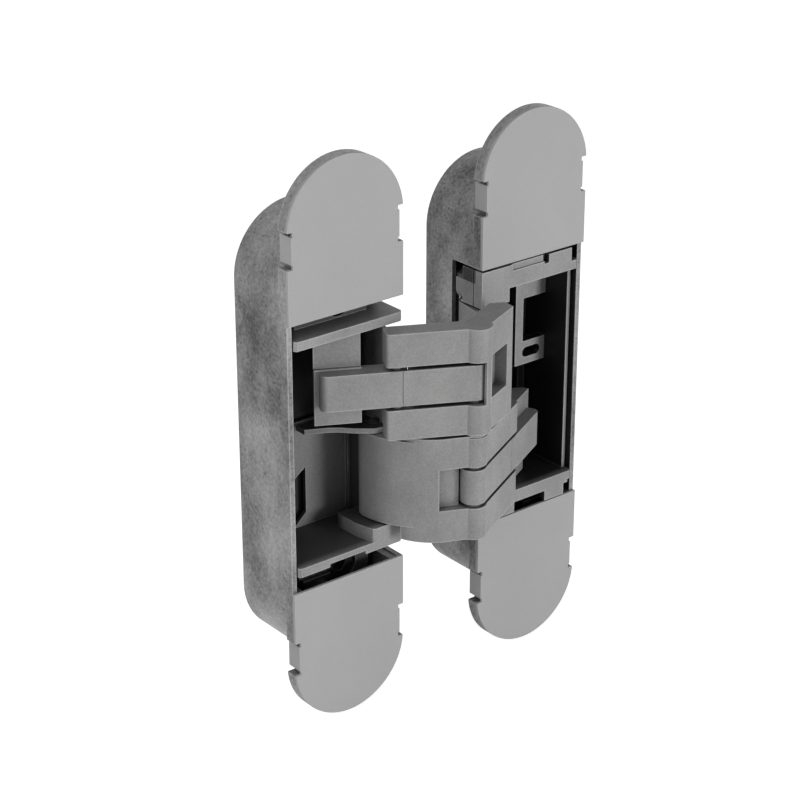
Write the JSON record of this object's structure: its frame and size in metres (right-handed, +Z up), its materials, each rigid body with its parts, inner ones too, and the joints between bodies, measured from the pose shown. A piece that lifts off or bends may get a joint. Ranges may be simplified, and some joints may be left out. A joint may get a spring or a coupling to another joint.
{
  "type": "concealed door hinge",
  "caption": "Concealed door hinge: two round-ended cast housings with cover caps, joined by two crossed arms on a centre pin, with height and depth adjusters.",
  "frame": {"origin": "centre of the frame half's two fixing holes, on the back face of its flange", "axes": "+Z up along the hinge's length, +Y back into the door frame along the fixing screws, +X from the frame half towards the door half, hinge fully open"},
  "size_m": [0.082, 0.0339, 0.13],
  "materials": {
    "cast_zinc": "raw die-cast zinc",
    "satin_cover": "satin grey",
    "satin_casting": "satin grey cast",
    "steel_pin": "ground steel",
    "dark_screw": "blackened steel"
  },
  "bodies": {
    "frame_half": {"frame_housing": "cast_zinc", "frame_cap_upper": "satin_cover", "frame_cap_lower": "satin_cover", "frame_clamp_plates": "steel_pin", "frame_clamp_screws": "dark_screw"},
    "frame_slider": {"frame_carrier": "satin_casting", "frame_hub_pin": "steel_pin", "frame_hub_washer": "steel_pin"},
    "upper_height_cam": {"frame_adjuster_upper": "dark_screw"},
    "lower_height_cam": {"frame_adjuster_lower": "dark_screw"},
    "lower_arm_set": {"arm_lower": "satin_casting", "lever_lower": "satin_casting", "fork_pin_lower": "steel_pin", "center_washer": "steel_pin"},
    "upper_arm_set": {"arm_upper": "satin_casting", "lever_upper": "satin_casting", "fork_pin_upper": "steel_pin", "center_pin": "steel_pin"},
    "upper_link_set": {"link_upper": "satin_casting"},
    "lower_link_set": {"link_lower": "satin_casting"},
    "door_slider": {"door_carrier": "satin_casting", "door_hub_pin": "steel_pin", "door_hub_washer": "steel_pin"},
    "door_half": {"door_housing": "cast_zinc", "door_cap_upper": "satin_cover", "door_cap_lower": "satin_cover", "door_clamp_plates": "steel_pin", "door_clamp_screws": "dark_screw"},
    "upper_depth_screw": {"door_depth_screw_upper": "dark_screw"},
    "lower_depth_screw": {"door_depth_screw_lower": "dark_screw"}
  },
  "joints": [
    {"name": "height_adjust", "type": "slide", "parent": "frame_half", "child": "frame_slider", "axis": [0, 0, 1], "range_m": [-0.0015, 0.0015]},
    {"name": "upper_height_cam_turn", "type": "hinge", "parent": "frame_slider", "child": "upper_height_cam", "pos_m": [0.002, 0.0025, 0.0316], "axis": [0, 1, 0], "range_deg": [-90.5, 90.5]},
    {"name": "lower_height_cam_turn", "type": "hinge", "parent": "frame_slider", "child": "lower_height_cam", "pos_m": [0.002, 0.0025, -0.0316], "axis": [0, 1, 0], "range_deg": [-90.5, 90.5]},
    {"name": "frame_hub_turn", "type": "hinge", "parent": "frame_slider", "child": "lower_arm_set", "pos_m": [0.0118, 0.0033, 0], "axis": [0, 0, -1], "range_deg": [0, 105.46]},
    {"name": "arm_cross_turn", "type": "hinge", "parent": "lower_arm_set", "child": "upper_arm_set", "pos_m": [0.026, -0.0139, 0], "axis": [0, 0, 1], "range_deg": [0, 30.94]},
    {"name": "door_hub_turn", "type": "hinge", "parent": "upper_arm_set", "child": "door_slider", "pos_m": [0.0402, 0.0033, 0], "axis": [0, 0, -1], "range_deg": [0, 105.47]},
    {"name": "upper_link_turn", "type": "hinge", "parent": "upper_arm_set", "child": "upper_link_set", "pos_m": [0.01062, -0.00638, 0.012], "axis": [0, 0, -1], "range_deg": [0, 88.02]},
    {"name": "lower_link_turn", "type": "hinge", "parent": "lower_arm_set", "child": "lower_link_set", "pos_m": [0.04138, -0.00638, -0.012], "axis": [0, 0, 1], "range_deg": [0, 88.02]},
    {"name": "depth_adjust", "type": "slide", "parent": "door_slider", "child": "door_half", "axis": [0, 1, 0], "range_m": [-0.0008, 0.0008]},
    {"name": "upper_depth_screw_turn", "type": "hinge", "parent": "door_half", "child": "upper_depth_screw", "pos_m": [0.05, 0.0025, 0.0316], "axis": [0, 1, 0], "range_deg": [-360.5, 360.5]},
    {"name": "lower_depth_screw_turn", "type": "hinge", "parent": "door_half", "child": "lower_depth_screw", "pos_m": [0.05, 0.0025, -0.0316], "axis": [0, 1, 0], "range_deg": [-360.5, 360.5]}
  ],
  "couplings": [
    {"joint": "upper_height_cam_turn", "follows": "height_adjust", "rad_per_m": 1047.2},
    {"joint": "lower_height_cam_turn", "follows": "height_adjust", "rad_per_m": 1047.2},
    {"joint": "arm_cross_turn", "follows": "frame_hub_turn", "ratio": 0.29325},
    {"joint": "door_hub_turn", "follows": "frame_hub_turn", "ratio": 1},
    {"joint": "upper_link_turn", "follows": "frame_hub_turn", "ratio": 0.83441},
    {"joint": "lower_link_turn", "follows": "frame_hub_turn", "ratio": 0.83441},
    {"joint": "upper_depth_screw_turn", "follows": "depth_adjust", "rad_per_m": 7854},
    {"joint": "lower_depth_screw_turn", "follows": "depth_adjust", "rad_per_m": 7854}
  ]
}
